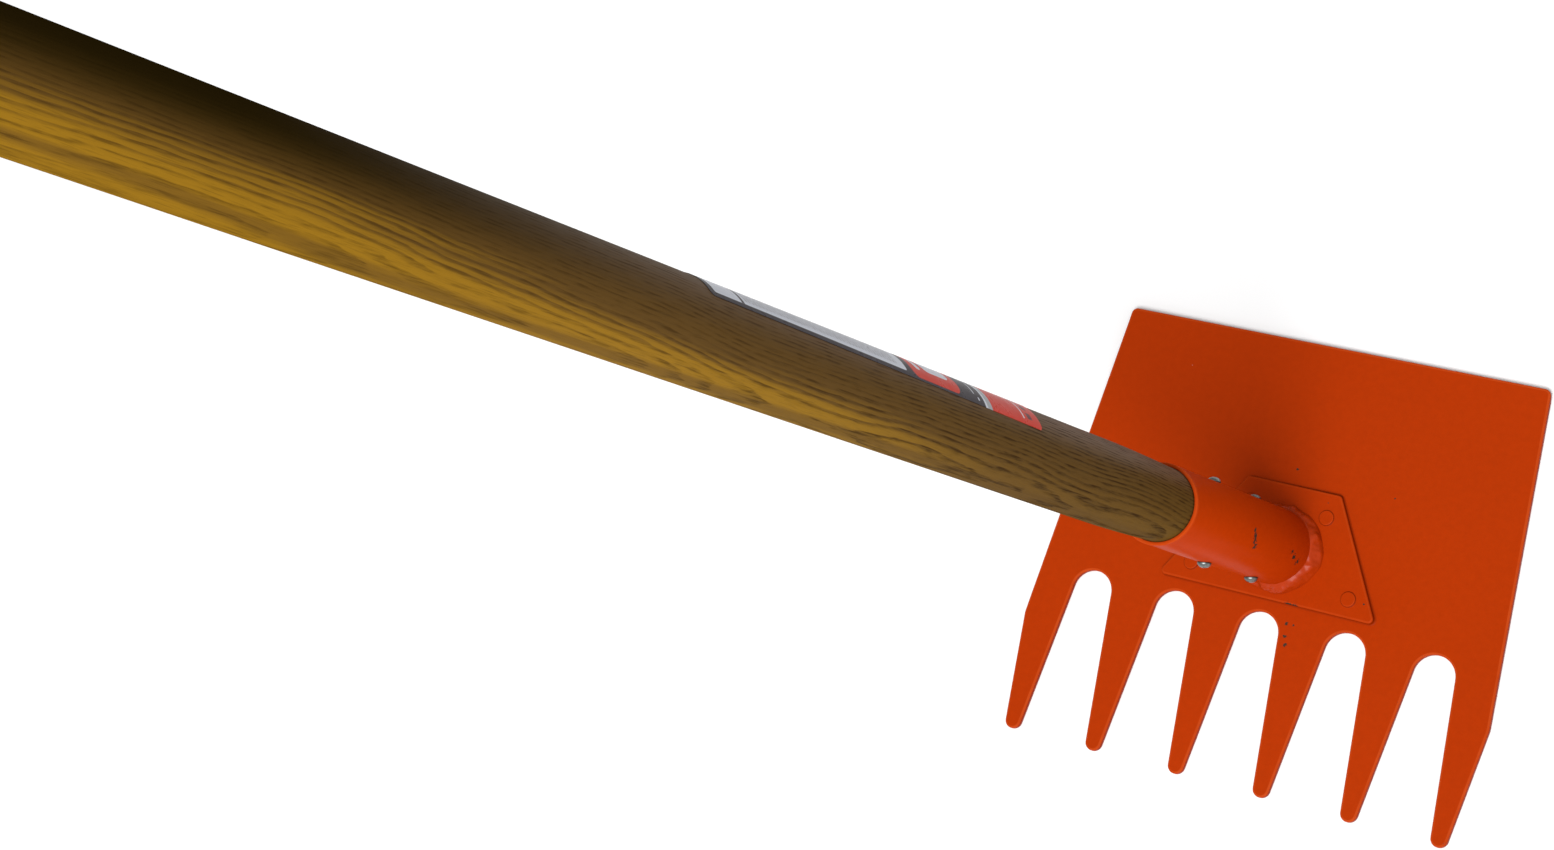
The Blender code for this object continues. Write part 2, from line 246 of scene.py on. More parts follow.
class Tree:
    """A node tree, with one way to add a node."""

    def __init__(self, nodes, links):
        self.nodes = nodes
        self.links = links

    def add(self, kind, settings=None, inputs=None):
        """Settings go first, because they change which sockets a node has."""
        node = self.nodes.new(kind)
        for name, setting in (settings or {}).items():
            setattr(node, name, setting)
        for key, item in (inputs or {}).items():
            if isinstance(item, Value):
                item = item.socket
            if isinstance(item, NodeSocket):
                self.links.new(item, node.inputs[key])
            else:
                node.inputs[key].default_value = item
        return node

    def out(self, kind, output, settings=None, inputs=None):
        return Value(self, self.add(kind, settings, inputs).outputs[output])

    def noise(self, where, scale, detail=2.0, roughness=0.5):
        return self.out("ShaderNodeTexNoise", 0, None,
                        {"Vector": where, "Scale": scale, "Detail": detail, "Roughness": roughness})

    def vector(self, x, y, z):
        return self.out("ShaderNodeCombineXYZ", 0, None, {0: x, 1: y, 2: z})

    def parts(self, vector):
        node = self.add("ShaderNodeSeparateXYZ", None, {0: vector})
        return [Value(self, socket) for socket in node.outputs]

    def stretch(self, vector, amounts):
        return self.out("ShaderNodeVectorMath", 0, {"operation": "MULTIPLY"}, {0: vector, 1: amounts})

    def mix(self, factor, first, second):
        """The first colour where the factor is 0, the second where it is 1."""
        return self.out("ShaderNodeMix", 2, {"data_type": "RGBA"},
                        {0: factor, 6: opaque(first), 7: opaque(second)})

    def attribute(self, name):
        return self.out("ShaderNodeAttribute", "Fac", {"attribute_name": name})


def opaque(shade):
    """A colour socket takes four numbers; a link is passed on as it is."""
    return shade if isinstance(shade, Value) else (*shade, 1.0)


def scaled(shade, amount):
    return tuple(part * amount for part in shade)


class Finish(Tree):
    """A material with one Principled shader."""

    def __init__(self, name, **constants):
        self.material = bpy.data.materials.new(name)
        self.material.use_nodes = True
        tree = self.material.node_tree
        super().__init__(tree.nodes, tree.links)
        self.shader = self.nodes["Principled BSDF"]
        for socket, setting in constants.items():
            self.shader.inputs[socket.replace("_", " ")].default_value = setting
        self.place = self.out("ShaderNodeTexCoord", "Object")

    def drive(self, socket, value):
        self.links.new(value.socket, self.shader.inputs[socket])

    def bump(self, height, strength, distance, under=None):
        """Adds a layer of relief; distance is the height that 1.0 stands for."""
        inputs = {"Height": height, "Strength": strength, "Distance": distance}
        if under:
            inputs["Normal"] = under
        return self.out("ShaderNodeBump", 0, None, inputs)


# ---- materials

# Chips in the paint: x, y and height in millimetres from the axis foot, and radius
CHIPS = (
    # Beside the upper rivet
    (20.5, -3.0, 88.5, 1.5), (20.5, -5.0, 87.0, 1.5), (20.5, -7.0, 85.5, 1.5), (20.0, -10.0, 82.5, 1.5),
    # Near the tube's foot
    (20.5, -3.5, 33.0, 1.0), (20.5, -5.5, 28.0, 1.5), (20.0, -6.5, 21.0, 1.5),
    # On the base plate's long edge, and by its corner
    (13.0, -28.5, 3.0, 1.0), (15.0, -28.5, 3.0, 1.5), (17.5, -28.5, 3.0, 1.5), (55.0, -19.0, 3.0, 0.5),
    # On the blade, above a tine and towards the hoe edge
    (14.5, -38.5, 0.0, 1.0), (19.0, -38.5, 0.0, 0.5), (15.5, -45.0, 0.0, 0.8), (17.0, -49.5, 0.0, 1.0),
    (-2.0, 43.5, 0.0, 0.6), (55.0, 39.5, 0.0, 0.4),
)


def enamel(name, gloss, peel=1.0, chips=True, lift=1.0):
    """Safety enamel: orange peel, thin edges with a painted highlight, painted shade in joints and under
    edges, dust, and chips down to steel; lift paints a lighter copy of the enamel as painted light.
    """
    paint = bpy.context.scene.rake_hoe_paint
    finish = Finish(name, Specular_IOR_Level=gloss)
    place = finish.place
    clouds = finish.noise(place, 11.0, 3.0)
    mottle = finish.noise(place, 260.0, 3.0, 0.65)
    grit = finish.noise(place, 1500.0, 1.0)
    rim = finish.attribute("rim")

    # lift scales the enamel's colour; above 1 it is painted light
    tone = finish.mix((clouds - 0.5) * 0.5 + (mottle - 0.5) * 0.9 + (grit - 0.5) * 0.25 + 0.3,
                      scaled(paint.enamel, lift), scaled(paint.enamel, lift * 0.80))
    # Rims are painted lighter, partly thinned paint and partly a painted highlight; where the rim weight is
    # negative, painted shade darkens joints, side walls and under-edges
    thin_paint_and_highlight = rim.most(0.0) * (0.12 + finish.noise(place, 90.0, 2.0) * 0.6)
    tone = finish.mix(thin_paint_and_highlight, tone, paint.thin)
    tone = finish.mix((-rim).most(0.0), tone, paint.painted_shade)

    # Specks of dirt under the paint, pale dust on it, and chips down to steel
    cell = finish.out("ShaderNodeTexVoronoi", "Distance", None, {"Vector": place, "Scale": 55.0})
    pick = finish.noise(place, 23.0, 0.0)
    specks = cell.ramp(0.030, 0.018) * pick.ramp(0.62, 0.66)
    dust = cell.ramp(0.026, 0.014) * pick.ramp(0.38, 0.34)
    ragged = finish.noise(place, 620.0, 3.0, 0.6)
    bare = rim * ragged.ramp(0.68, 0.72) * finish.noise(place, 31.0, 1.0).ramp(0.58, 0.64)
    if chips:
        for x, y, z, radius in CHIPS:
            spot = AXIS_FOOT + Vector((x, y, z)) * MM
            away = finish.out("ShaderNodeVectorMath", 1, {"operation": "DISTANCE"}, {0: place, 1: spot})
            reach = radius * MM * 2.0
            bare = bare.most((1.0 - away / reach + (ragged - 0.5) * 2.4).ramp(0.48, 0.58))
    tone = finish.mix(specks * 0.6, tone, paint.bare)
    tone = finish.mix(dust * 0.6, tone, (0.45, 0.30, 0.26))
    tone = finish.mix(bare, tone, paint.bare)
    finish.drive("Base Color", tone)

    smudge = finish.noise(place, 35.0, 3.0, 0.6)
    finish.drive("Roughness", paint.roughness + (smudge - 0.5) * 0.14 + bare * 0.22)
    finish.drive("Metallic", bare * 0.5)
    ripple = finish.noise(place, 560.0, 2.0, 0.45) + finish.noise(place, 170.0, 1.0) * 0.8
    relief = finish.bump(ripple, paint.peel * peel, 0.35 * MM)
    finish.drive("Normal", finish.bump(1.0 - bare, 0.6, 0.12 * MM, relief))
    return finish.material


def zinc(rivets):
    """Bright zinc plate, hammered a little, with painted shade, darker and rougher, in the corner against
    the tube.
    """
    finish = Finish("zinc_plate", Metallic=1.0)
    place = finish.place
    blotch = finish.noise(place, 900.0, 3.0, 0.6)
    painted_shade = finish.attribute("rim")
    tone = finish.mix((blotch - 0.35) * 0.8, rivets.zinc, scaled(rivets.zinc, 0.62))
    # Painted shade where the head meets the tube
    tone = finish.mix(painted_shade * 0.85, tone, (0.045, 0.035, 0.03))
    finish.drive("Base Color", tone)
    finish.drive("Roughness", 0.24 + blotch * 0.26 + painted_shade * 0.3)
    dents = finish.noise(place, 650.0, 2.0)
    scratches = finish.noise(finish.stretch(place, (6000.0, 900.0, 900.0)), 1.0, 2.0)
    finish.drive("Normal", finish.bump(scratches, 0.12, 0.05 * MM, finish.bump(dents, 0.5, 0.25 * MM)))
    return finish.material


def lacquered_ash(handle):
    """Stained ash under satin lacquer: rings about a pith beside the handle, and long pores."""
    finish = Finish("lacquered_ash", Specular_IOR_Level=0.0, Coat_Roughness=0.34)
    local = finish.out("ShaderNodeMapping", 0, {"vector_type": "TEXTURE"},
                       {"Vector": finish.place, "Location": AXIS_FOOT, "Rotation": (LEAN, 0.0, 0.0)})
    across, forward, along = finish.parts(local)

    def grain(over, lengthwise, detail=2.0, roughness=0.5):
        """Noise drawn out along the handle: its scales across and along the grain."""
        return finish.noise(finish.stretch(local, (over, over, lengthwise)), 1.0, detail, roughness)

    # Rings: distance from a pith that wanders a little, made ragged by the vessels
    drift = grain(9.0, 2.6)
    waver = grain(60.0, 5.0)
    ragged = grain(330.0, 40.0)
    side = across + 0.035 + (drift - 0.5) * 0.016
    depth = forward - 0.078
    reach = (side * side + depth * depth).root() + along * 0.013 + (drift - 0.5) * 0.020
    reach = reach + (waver - 0.5) * 0.0026 + (ragged - 0.5) * 0.0012
    phase = (reach / handle.ring).fraction()
    early = phase.ramp(0.0, 0.10) * phase.ramp(0.66, 0.20)

    dashes = grain(1150.0, 75.0, roughness=0.6).ramp(0.44, 0.60) * (0.10 + early * 0.90)
    fibre = grain(2600.0, 90.0)
    streak = grain(130.0, 3.2, detail=3.0, roughness=0.6)
    broken = grain(420.0, 45.0, detail=1.0).ramp(0.36, 0.62)

    # The stain runs from golden on the tine side to brown on the flanks; the far side, away from the head,
    # is painted nearly black as shade, and near the head is painted paler as a sheen
    around = forward / HANDLE_RADIUS
    wide = -around + (streak - 0.5) * 0.9 - early * 0.15 + along.ramp(0.55, 0.90) * 0.22
    gold = wide.ramp(0.10, 0.66) * (0.14 + along.ramp(0.34, 0.56) * 0.86)
    seam = abs(around + 0.87 - along.ramp(0.80, 0.95) * 0.14 + (streak - 0.5) * 0.25)
    gold = gold * (1.0 - seam.ramp(0.13, 0.02) * 0.62)
    # Painted shade: the far side, away from the head, darkens nearly to black
    far_side_shade = (around + (streak - 0.5) * 0.4).ramp(-0.15, 0.75) * along.ramp(0.60, 0.90)
    # Painted sheen: the far side near the head turns paler
    painted_sheen = around.ramp(0.35, 1.0) * along.ramp(0.85, 0.30)
    clear = 0.45 + along.ramp(0.75, 0.30) * 0.55
    shade = scaled(handle.brown, 0.50)
    tone = finish.mix(gold, handle.brown, handle.golden)
    tone = finish.mix(painted_sheen * 0.6, tone, handle.painted_sheen)
    tone = finish.mix(early * (0.15 + broken * 0.50) * clear, tone, shade)
    tone = finish.mix(fibre.ramp(0.5, 0.8) * 0.4, tone, shade)
    tone = finish.mix(dashes * (0.35 + broken * 0.45) * clear, tone, handle.pore)
    tone = finish.mix(far_side_shade * 0.95, tone, handle.dark)
    finish.drive("Base Color", tone)

    finish.drive("Roughness", 0.45 + (streak - 0.5) * 0.12 + dashes * 0.18)
    lacquer = along.ramp(0.90, 0.62) * (0.06 + around.ramp(0.0, 0.9) * 0.18)
    finish.drive("Coat Weight", lacquer * (1.0 - dashes * 0.5))
    relief = finish.bump(1.0 - dashes, 0.35, 0.12 * MM)
    finish.drive("Normal", finish.bump(drift + fibre * 0.12, 0.10, 0.6 * MM, relief))
    return finish.material


PRINT_EDGE = 0.12


def band(value, low, high, soft=PRINT_EDGE):
    """1 between low and high, in millimetres, with a soft printed edge."""
    return value.ramp(low - soft, low + soft) * value.ramp(high + soft, high - soft)


def rounded_field(along, across, low, high, half, radius):
    """1 inside a field with round corners, centred across the label."""
    beyond = abs(along - (low + high) / 2) - ((high - low) / 2 - radius)
    beside = abs(across) - (half - radius)
    far, wide = beyond.most(0.0), beside.most(0.0)
    outside = (far * far + wide * wide).root() + beyond.most(beside).least(0.0)
    return outside.ramp(radius + PRINT_EDGE, radius - PRINT_EDGE)


def printed_film(label):
    """A plain printed label: fields, lines and bars, with no lettering."""
    finish = Finish("printed_film", Specular_IOR_Level=0.025)
    where = finish.out("ShaderNodeUVMap", 0, {"uv_map": "label"})
    along, across, _ = finish.parts(finish.stretch(where, (1000.0, 1000.0, 1.0)))
    edge = 20.0

    # The lower end: stripes from and to along the label, from and to across it
    art = label.border
    for low, high, left, right, shade in (
            (0.0, 50.0, -edge, edge, label.red), (50.0, 55.5, -edge, edge, label.silver),
            (54.6, 56.6, -edge, edge, label.panel), (16.2, 17.4, -16.0, 16.0, label.panel),
            (63.4, 64.4, -13.5, 13.5, label.panel), (60.8, 62.0, -16.6, -15.0, label.panel),
            (60.8, 62.0, 15.0, 16.6, label.panel)):
        art = finish.mix(band(along, low, high) * band(across, left, right), art, shade)
    blocks = band((across / 5.5).fraction(), 0.18, 0.82, 0.03)
    row = band(along, 8.0, 12.5) * band(across, -16.5, 16.5)
    art = finish.mix(row * blocks * 0.85, art, label.border)

    # The middle: a red field with two pale bars
    for low, high, half, radius, shade in (
            (78.0, 121.5, 17.6, 5.0, label.red), (84.0, 107.0, 11.8, 4.0, label.panel),
            (111.0, 115.0, 12.5, 1.5, label.panel)):
        art = finish.mix(rounded_field(along, across, low, high, half, radius), art, shade)

    # The upper end: a pale panel of ruled grey lines, broken at random, with a divider above them
    panel = rounded_field(along, across, 127.5, 279.0, 16.6, 1.2)
    art = finish.mix(panel, art, label.panel)
    phase = (along / 2.6).fraction()
    ruled = phase.ramp(0.42, 0.50) * phase.ramp(0.96, 0.90)
    gaps = finish.noise(finish.stretch(where, (700.0, 900.0, 1.0)), 1.0, 1.0).ramp(0.40, 0.46)
    lines = band(along, 134.5, 256.0, 0.3) * band(across, -14.6, 14.6, 0.3)
    art = finish.mix(lines * (0.16 + ruled * gaps * 0.50), art, (0.22, 0.21, 0.22))
    art = finish.mix(band(along, 257.3, 259.5) * panel, art, label.border)
    finish.drive("Base Color", art)

    scuff = finish.noise(finish.place, 240.0, 3.0, 0.6)
    finish.drive("Roughness", 0.30 + (scuff - 0.5) * 0.20)
    ripple = finish.noise(finish.place, 85.0, 2.0)
    print_relief = finish.bump(panel, 0.4, 0.02 * MM)
    finish.drive("Normal", finish.bump(ripple, 0.25, 0.25 * MM, print_relief))
    return finish.material


def floor_paper(stage):
    """A pale seamless paper floor."""
    finish = Finish("floor_paper", Specular_IOR_Level=0.1)
    fibre = finish.noise(finish.place, 60.0, 3.0)
    finish.drive("Base Color", finish.mix(fibre * 0.02, stage.floor, (0.8, 0.8, 0.8)))
    finish.drive("Roughness", 0.85 + fibre * 0.1)
    return finish.material


# ---- mesh making

def in_scene(name, data):
    made = bpy.data.objects.new(name, data)
    bpy.context.scene.collection.objects.link(made)
    return made


class Shape:
    """A mesh made of rows of points; each point is on a rim (1), on a plain face (0) or in a joint or under
    an edge (-1); rims are painted lighter, and -1 is painted shade.
    """

    def __init__(self):
        self.points = []
        self.rims = []
        self.faces = []

    def row(self, points, rim=0.0):
        start = len(self.points)
        self.points += [Vector(point) for point in points]
        self.rims += [rim] * (len(self.points) - start)
        return list(range(start, len(self.points)))

    def strip(self, low, high, closed=True):
        """Quads between two rows; a row of one point makes a fan."""
        count = max(len(low), len(high))
        for step in range(count if closed else count - 1):
            after = (step + 1) % count
            corners = [low[step % len(low)], low[after % len(low)],
                       high[after % len(high)], high[step % len(high)]]
            self.faces.append(list(dict.fromkeys(corners)))

    def fill(self, *loops):
        """A flat face inside the first loop, with the others as holes."""
        flat = [index for loop in loops for index in loop]
        outlines = [[self.points[index] for index in loop] for loop in loops]
        self.faces += [[flat[corner] for corner in triangle]
                       for triangle in tessellate_polygon(outlines)]

    def piece(self, name, material, matrix=None):
        """Makes the object, with smooth faces that break where they meet at a sharp angle."""
        mesh = bpy.data.meshes.new(name)
        mesh.from_pydata(self.points, [], self.faces)
        tool = bmesh.new()
        tool.from_mesh(mesh)
        bmesh.ops.recalc_face_normals(tool, faces=tool.faces)
        tool.to_mesh(mesh)
        tool.free()
        rim = mesh.attributes.new("rim", "FLOAT", "POINT")
        rim.data.foreach_set("value", self.rims)
        if matrix:
            mesh.transform(matrix)
        mesh.shade_smooth()
        mesh.set_sharp_from_angle(angle=math.radians(35))
        mesh.materials.append(material)
        return in_scene(name, mesh)


def circle(radius, height, steps, centre=(0.0, 0.0)):
    turns = [TURN * step / steps for step in range(steps)]
    return [(centre[0] + radius * math.cos(turn), centre[1] + radius * math.sin(turn), height)
            for turn in turns]


def quarter(steps):
    """The cosine and sine at even steps through a quarter turn, both ends included."""
    turns = [math.pi / 2 * step / steps for step in range(steps + 1)]
    return [(math.cos(turn), math.sin(turn)) for turn in turns]


def turned(shape, profile, steps):
    """Adds a solid of revolution from (radius, height, rim) points, bottom to top."""
    rows = [shape.row([(0, 0, height)] if radius == 0 else circle(radius, height, steps), rim)
            for radius, height, rim in profile]
    for low, high in zip(rows, rows[1:]):
        shape.strip(low, high)


def arc(centre, radius, start, end, steps):
    turns = [start + (end - start) * step / steps for step in range(steps + 1)]
    return [centre + radius * Vector((math.cos(turn), math.sin(turn))) for turn in turns]


def rounded_corner(before, corner, after, radius, steps=10):
    back = (before - corner).normalized()
    ahead = (after - corner).normalized()
    half = back.angle(ahead) / 2
    middle = corner + (back + ahead).normalized() * radius / math.sin(half)
    first = corner + back * radius / math.tan(half) - middle
    last = corner + ahead * radius / math.tan(half) - middle
    start = math.atan2(first.y, first.x)
    sweep = (math.atan2(last.y, last.x) - start + math.pi) % TURN - math.pi
    return arc(middle, radius, start, start + sweep, steps)


def inset(outline, distance):
    """The outline moved into the material; it runs anticlockwise."""
    moved = []
    for index, point in enumerate(outline):
        ahead = (outline[(index + 1) % len(outline)] - point).orthogonal().normalized()
        back = (point - outline[index - 1]).orthogonal().normalized()
        inward = (ahead + back).normalized()
        moved.append(point + inward * distance / max(inward.dot(ahead), 0.5))
    return moved


def plate(outline, low, high, edge_round, holes, foot_rim, flare=False):
    """A flat plate with rounded rims; holes are (centre, [(radius, height), ...]) from top to bottom.

    A flare turns the lower rim into a skirt of paint that runs out over the plate below. A negative
    foot_rim paints shade on the lower rim and the side wall, and on the skirt when there is one.
    """
    shape = Shape()
    steps = 4
    # Two rows just inside the rim keep its shading off the flat faces
    near, deep = 1.3 * MM, 2.0 * MM
    section = [(deep, low, 0.0), (near, low, 0.0)]
    inward = -edge_round if flare else edge_round
    for step, (cosine, sine) in enumerate(quarter(steps)):
        rim = foot_rim * (0.55 + 0.45 * step / steps) if flare else foot_rim
        section.append((inward * (1 - sine), low + edge_round * (1 - cosine), rim))
    for step, (cosine, sine) in enumerate(quarter(steps)):
        rim = foot_rim if step == 0 else 0.35 if flare else 0.8
        section.append((edge_round * (1 - cosine), high - edge_round * (1 - sine), rim))
    section += [(near, high, 0.0), (deep, high, 0.0)]
    rows = []
    for distance, height, rim in section:
        rows.append(shape.row([(p.x, p.y, height) for p in inset(outline, distance)], rim))
    for lower, upper in zip(rows, rows[1:]):
        shape.strip(lower, upper)
    tops, bottoms = [], []
    margin, around = 0.6 * MM, 40
    for centre, profile in holes:
        bore = [shape.row(circle(profile[0][0] + margin, high, around, centre))]
        # The bore's walls are painted shade
        bore += [shape.row(circle(radius, height, around, centre), -0.8) for radius, height in profile]
        bore.append(shape.row(circle(profile[-1][0] + margin, low, around, centre)))
        for upper, lower in zip(bore, bore[1:]):
            shape.strip(upper, lower)
        tops.append(bore[0])
        bottoms.append(bore[-1])
    shape.fill(rows[-1], *tops)
    shape.fill(rows[0], *bottoms)
    return shape


def finished(piece, slot, *nodes):
    """Rides the piece on the tool and hides the nodes that it stands for; slot is not used."""
    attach(piece, BODY)
    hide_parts(*nodes)


# ---- geometry nodes

class Grower(Tree):
    """A Geometry Nodes tree with named inputs, applied to a mesh as a plain mesh."""

    def __init__(self, name):
        self.group = bpy.data.node_groups.new(name, "GeometryNodeTree")
        super().__init__(self.group.nodes, self.group.links)
        for way in ("INPUT", "OUTPUT"):
            self.group.interface.new_socket("Geometry", in_out=way, socket_type="NodeSocketGeometry")
        self.entry = self.nodes.new("NodeGroupInput")
        self.settings = {}

    def setting(self, name, kind, value):
        """A named input; returns its socket inside the tree."""
        socket = self.group.interface.new_socket(name, in_out="INPUT", socket_type="NodeSocket" + kind)
        self.settings[socket.identifier] = value
        return Value(self, self.entry.outputs[name])

    def grow(self, name, places, geometry, material):
        """Ends the tree in Realize Instances and Set Material, and runs it on loose points."""
        solid = self.out("GeometryNodeRealizeInstances", 0, None, {0: geometry})
        painted = self.out("GeometryNodeSetMaterial", 0, None, {"Geometry": solid, "Material": material})
        leave = self.nodes.new("NodeGroupOutput")
        self.links.new(painted.socket, leave.inputs[0])
        points = bpy.data.meshes.new(name + "_places")
        points.from_pydata(places, [], [])
        source = in_scene(name + "_places", points)
        modifier = source.modifiers.new("grow", "NODES")
        modifier.node_group = self.group
        for identifier, value in self.settings.items():
            modifier[identifier] = value
        graph = bpy.context.evaluated_depsgraph_get()
        mesh = bpy.data.meshes.new_from_object(source.evaluated_get(graph), depsgraph=graph)
        source.modifiers.remove(modifier)
        bpy.data.objects.remove(source)
        mesh.name = name
        mesh.set_sharp_from_angle(angle=math.radians(40))
        return in_scene(name, mesh)


def rivets_at(name, places, master, turn, seed, material):
    """A rivet at each place, each spun about its own axis by a random amount."""
    grower = Grower(name + "_nodes")
    rivet = grower.setting("Rivet", "Object", master)
    direction = grower.setting("Direction", "Rotation", turn)
    number = grower.setting("Seed", "Int", seed)
    pattern = grower.out("GeometryNodeObjectInfo", "Geometry", {"transform_space": "ORIGINAL"}, {0: rivet})
    spin = grower.out("FunctionNodeRandomValue", 1, {"data_type": "FLOAT"},
                      {2: 0.0, 3: TURN, "Seed": number})
    spun = grower.out("FunctionNodeEulerToRotation", 0, None, {0: grower.vector(0.0, 0.0, spin)})
    turned_to = grower.out("FunctionNodeRotateRotation", 0, {"rotation_space": "LOCAL"},
                           {0: direction, 1: spun})
    placed = grower.out("GeometryNodeInstanceOnPoints", 0, None,
                        {"Points": grower.entry.outputs["Geometry"], "Instance": pattern,
                         "Rotation": turned_to})
    return grower.grow(name, places, placed, material)


def weld_ring(socket, level, material):
    """A hand-laid fillet weld: a bent grid whose legs swell and ripple round the tube."""
    grower = Grower("weld_nodes")
    radius = grower.setting("Tube radius", "Float", TUBE_RADIUS)
    out = grower.setting("Leg on the plate", "Float", socket.weld_out)
    rise = grower.setting("Leg on the tube", "Float", socket.weld_up)
    lumps = grower.setting("Lumps", "Float", socket.weld_lumps)
    seed = grower.setting("Seed", "Int", socket.weld_seed)
    # A flat grid to bend: its first direction goes round the tube, its second along the section
    grid = grower.add("GeometryNodeMeshGrid", None,
                      {"Size X": 1.0, "Size Y": 1.0, "Vertices X": 481, "Vertices Y": 41})
    turns, section, _ = grower.parts(Value(grower, grid.outputs["UV Map"]))
    angle = turns * TURN
    cosine, sine = angle.cosine(), angle.sine()
    # The section runs out along the plate, steps up at the toe, slopes to the tube and goes down it
    foot = (section / 0.15).least(1.0)
    face = ((section - 0.15) / 0.70).most(0.0).least(1.0)
    back = ((section - 0.85) / 0.15).most(0.0)

    heading = grower.vector(cosine, sine, seed * 7.3)
    swell = grower.noise(heading, 1.5, 1.0) - 0.5
    lump = grower.noise(heading, 3.0, 0.5, 0.4) - 0.5
    over = grower.vector(cosine, sine, face * 0.25 + seed)
    bead = grower.noise(over, 3.2, 0.0) + grower.noise(over, 8.0, 0.0) * 0.25 - 0.62
    ridge = abs((angle * 9.0 + face * 1.4 + lump * 8.0).sine())
    # More metal was laid on the side that faces the right edge of the blade
    heap = (angle + 0.30).cosine().ramp(0.15, 1.0)
    wide = out * (0.74 + heap * 0.62 + swell * lumps * 1.5 + lump * lumps * 1.6)
    tall = rise * (0.95 + heap * 0.10 + swell * lumps * 0.9 - lump * lumps * 1.3)
    crown = (face * math.pi).sine()
    push = crown * (bead * lumps * (9.0 * MM) - ridge * (0.18 * MM) + 0.8 * MM)
    across = radius + foot * (1.0 - face) * wide + push
    toe = 0.6 * MM
    height = (face * (tall - toe) + (face / 0.06).least(1.0) * toe) * (1.0 - back) + push * 0.8
    at = grower.vector(across * cosine, across * sine - height * math.tan(LEAN), height)
    bent = grower.out("GeometryNodeSetPosition", 0, None,
                      {"Geometry": grid.outputs["Mesh"], "Position": at})
    joined = grower.out("GeometryNodeMergeByDistance", 0, None, {"Geometry": bent, "Distance": 0.00001})
    smooth = grower.out("GeometryNodeSetShadeSmooth", 0, None, {"Geometry": joined})
    piece = grower.grow("weld", [(0, 0, 0)], smooth, material)
    crossing = AXIS_FOOT.y - (level - AXIS_FOOT.z) * math.tan(LEAN)
    piece.data.transform(Matrix.Translation((0, crossing, level)))
    return piece


# ---- outlines and places

def blade_outline(blade):
    """Anticlockwise from the right shoulder, round the hoe edge, then each tine and slot."""
    front = BLADE_LOW[1]

    def at(x, rise):
        return Vector((x, front + rise))

    def leaving(way, radius):
        """The angle at which a tine's edge leaves its round tip; radius is the sum of its ends'."""
        return math.atan2(way.y, way.x) - math.acos(radius / way.length)

    tip = blade.tip_radius
    last = (blade.tines - 1) / 2 * blade.pitch
    shoulder = at(BLADE_HIGH[0], blade.shoulder_rise)
    flank = leaving(at(blade.pitch / 2, blade.slot_rise) - at(0, tip), blade.slot_radius + tip)
    outside = leaving(shoulder - at(last, tip), tip)
    leave = at(last, tip) + tip * Vector((math.cos(outside), math.sin(outside)))
    hoe = Vector((blade.hoe_width / 2, BLADE_HIGH[1]))
    mirror = Matrix(((-1, 0), (0, 1)))
    shoulder_round, hoe_round = 15.0 * MM, 3.5 * MM

    points = []
    corners = (leave, shoulder, hoe, mirror @ hoe, mirror @ shoulder, mirror @ leave)
    for index, radius in enumerate((shoulder_round, hoe_round, hoe_round, shoulder_round)):
        points += rounded_corner(*corners[index:index + 3], radius)
    for tine in range(blade.tines):
        x = -last + tine * blade.pitch
        start = math.pi - (outside if tine == 0 else flank)
        end = TURN + (outside if tine == blade.tines - 1 else flank)
        points += arc(at(x, tip), tip, start, end, 24)
        if tine < blade.tines - 1:
            slot = at(x + blade.pitch / 2, blade.slot_rise)
            points += arc(slot, blade.slot_radius, math.pi + flank, -flank, 36)
    return points


BASE_RIVETS = ("base_rivet_front_left", "base_rivet_front_right",
               "base_rivet_rear_left", "base_rivet_rear_right")
BASE_BORE = 3.1 * MM
BASE_SHANK = 3.05 * MM


def middle(node):
    """The middle of a node's box in the frame."""
    low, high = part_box(node)
    return tuple((low[axis] + high[axis]) / 2 for axis in range(3))


def base_rivet_places():
    return [(x, y, 0.0) for x, y, _ in map(middle, BASE_RIVETS)]


def grind_hoe_edge(mesh, blade):
    """Slopes the underside up to the hoe edge."""
    start = BLADE_HIGH[1] - blade.grind_length
    thickness = BLADE_HIGH[2] - BLADE_LOW[2]
    tool = bmesh.new()
    tool.from_mesh(mesh)
    bmesh.ops.bisect_plane(tool, geom=tool.verts[:] + tool.edges[:] + tool.faces[:],
                           plane_co=(0, start, 0), plane_no=(0, 1, 0))
    for vertex in tool.verts:
        past = max(vertex.co.y - start, 0.0)
        lift = past / blade.grind_length * blade.grind_height
        vertex.co.z += lift * (1.0 - (vertex.co.z - BLADE_LOW[2]) / thickness)
    tool.to_mesh(mesh)
    tool.free()
    mesh.set_sharp_from_angle(angle=math.radians(15))


# ---- operators

class RAKEHOE_OT_blade(Operator):
    """Adds the toothed blade, cut from flat plate, with its hoe edge ground from below"""
    bl_idname = "rake_hoe.blade"
    bl_label = "Blade"

    def execute(self, context):
        blade = context.scene.rake_hoe_blade
        low, high = BLADE_LOW[2], BLADE_HIGH[2]
        sink_radius, sink_depth, sink_lip = 4.9 * MM, 1.9 * MM, 0.1 * MM
        bore = [(BASE_BORE, high), (BASE_BORE, low + sink_depth),
                (sink_radius, low + sink_lip), (sink_radius, low)]
        holes = [(place, bore) for place in base_rivet_places()]
        # foot_rim paints shade on the blade's lower rims and side walls
        shape = plate(blade_outline(blade), low, high, blade.edge_round, holes, foot_rim=-0.35)
        piece = shape.piece("blade_plate", enamel("blade_enamel", gloss=0.03))
        grind_hoe_edge(piece.data, blade)
        finished(piece, "paint", "blade")
        return {"FINISHED"}


